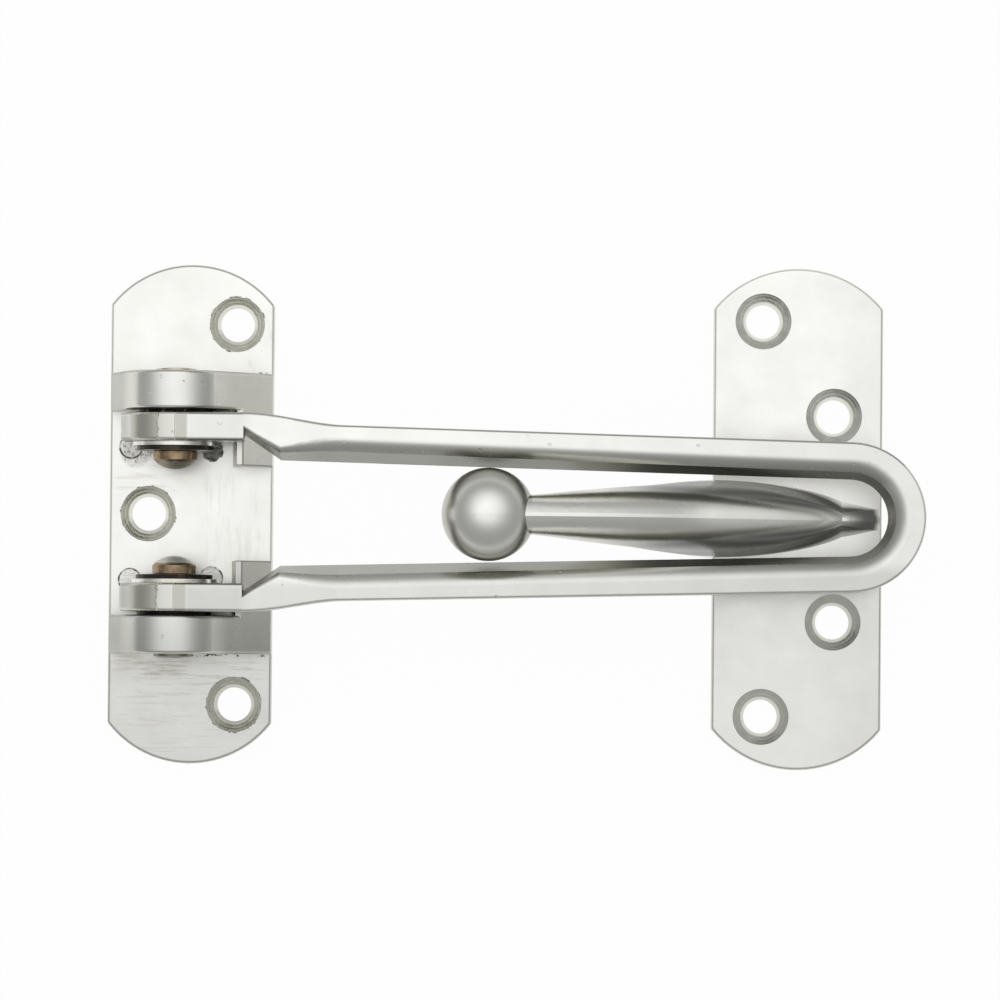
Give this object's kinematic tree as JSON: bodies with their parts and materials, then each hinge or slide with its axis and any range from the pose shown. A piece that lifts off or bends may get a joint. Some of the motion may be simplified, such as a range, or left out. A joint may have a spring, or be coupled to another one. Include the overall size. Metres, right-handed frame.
{
  "type": "swing bar door guard",
  "caption": "Swing-bar door security bolt: a hinged U-shaped bar on one plate closes over a ball-tipped arm on a second plate, in satin metal.",
  "frame": {"origin": "centre of the hinge plate's back face, which lies on the door frame", "axes": "+X along the closed bar towards its loop, +Y along the plates and the pivot axis, +Z out of the door"},
  "size_m": [0.1362, 0.0844, 0.0277],
  "materials": {
    "hinge_plate_metal": "satin nickel plated zinc casting",
    "bar_metal": "satin nickel plated zinc casting",
    "ball_plate_metal": "satin nickel plated zinc casting",
    "rivet_brass": "dull copper-toned rivet",
    "thrust_washer_steel": "bright zinc plated washer",
    "spring_washer_steel": "dark spring steel",
    "friction_washer_brass": "dark brass washer"
  },
  "bodies": {
    "base": {"hinge_plate": "hinge_plate_metal", "ball_plate": "ball_plate_metal", "upper_hinge_rivet": "rivet_brass", "lower_hinge_rivet": "rivet_brass", "upper_thrust_washer": "thrust_washer_steel", "lower_thrust_washer": "thrust_washer_steel", "upper_spring_washer": "spring_washer_steel", "lower_spring_washer": "spring_washer_steel", "upper_friction_washer": "friction_washer_brass", "lower_friction_washer": "friction_washer_brass"},
    "bar": {"swing_bar": "bar_metal"}
  },
  "joints": [
    {"name": "bar_swing", "type": "hinge", "parent": "base", "child": "bar", "pos_m": [-0.0022, 0, 0.0124], "axis": [0, -1, 0], "range_deg": [0, 180]}
  ]
}
